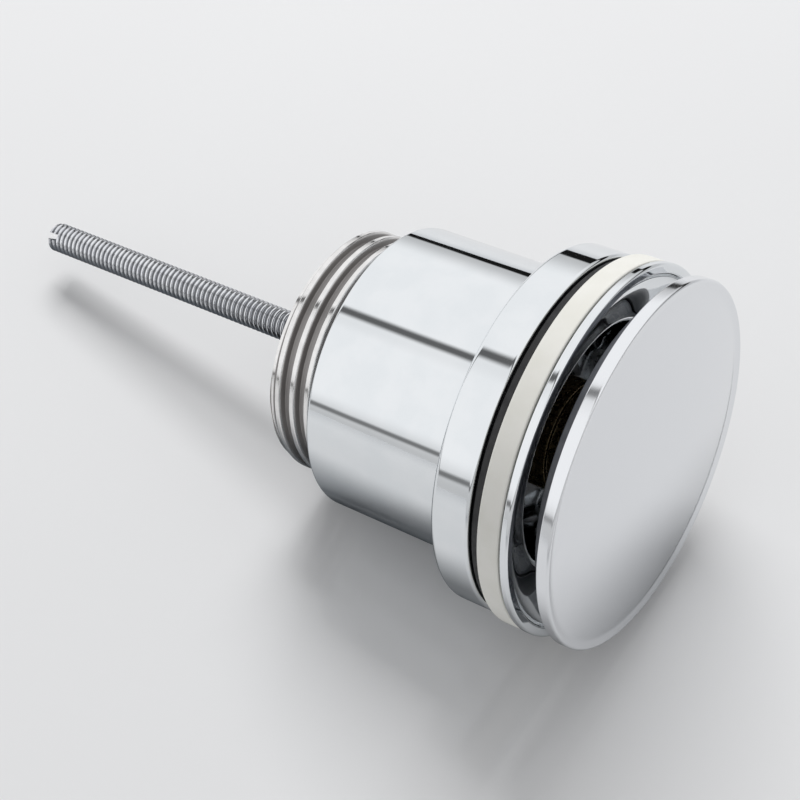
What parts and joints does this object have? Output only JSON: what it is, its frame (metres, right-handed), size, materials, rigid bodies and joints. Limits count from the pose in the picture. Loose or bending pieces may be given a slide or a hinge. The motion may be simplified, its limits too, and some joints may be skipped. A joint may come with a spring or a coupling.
{
  "type": "pop up basin waste",
  "caption": "Press-to-open basin waste with a domed chrome cap, sealed flange, threaded tail body and a long slotted tie rod.",
  "frame": {"origin": "on the axis of the waste, in the plane where the pale top seal bears on the basin", "axes": "+Z along the axis, from the tail to the cap, as installed; +X towards the pin of the plug's track"},
  "size_m": [0.0618, 0.0618, 0.1277],
  "materials": {
    "flange_chrome": "polished chrome plate",
    "cap_chrome": "polished chrome plate",
    "body_chrome": "polished chrome plate",
    "seal_pale": "matt off-white moulded seal",
    "rubber_black": "matt black rubber",
    "rod_zinc": "bright zinc-plated steel",
    "brass": "machined brass",
    "stainless": "bright stainless steel",
    "acetal": "natural acetal",
    "moulding_black": "black moulded plastic"
  },
  "bodies": {
    "flange_assembly": {"upper_flange": "flange_chrome", "top_seal": "seal_pale", "cartridge_body": "brass", "cartridge_collar": "brass", "stem_oring": "rubber_black", "seat_washer": "acetal", "tie_rod": "rod_zinc", "lock_washer": "rod_zinc", "lock_nut": "rod_zinc"},
    "plug": {"cap": "cap_chrome", "cap_boss": "brass", "plug_core": "moulding_black", "cap_seal": "rubber_black", "stud_nut": "brass", "plunger": "stainless", "return_spring": "stainless"},
    "turning_ring": {"track_ring": "acetal", "track_pin": "stainless"},
    "clamp_seal": {"bottom_seal": "rubber_black"},
    "clamp_body": {"lower_body": "body_chrome"}
  },
  "joints": [
    {"name": "plug_press", "type": "slide", "parent": "flange_assembly", "child": "plug", "axis": [0, 0, 1], "range_m": [-0.0042, 0], "stiffness_N_per_m": 600, "springref_m": 0.01, "deforming": ["return_spring"]},
    {"name": "ring_turn", "type": "hinge", "parent": "flange_assembly", "child": "turning_ring", "pos_m": [0, 0, 0], "axis": [0, 0, 1], "range_deg": [0, 50]},
    {"name": "clamp_slide", "type": "slide", "parent": "flange_assembly", "child": "clamp_seal", "axis": [0, 0, 1], "range_m": [-0.06, 0]},
    {"name": "clamp_turn", "type": "hinge", "parent": "clamp_seal", "child": "clamp_body", "pos_m": [0, 0, 0], "axis": [0, 0, 1], "range_deg": [-21600, 0]}
  ],
  "couplings": [
    {"joint": "ring_turn", "follows": "plug_press", "rad_per_m": -207.7},
    {"joint": "clamp_slide", "follows": "clamp_turn", "m_per_rad": 0.00015915}
  ]
}
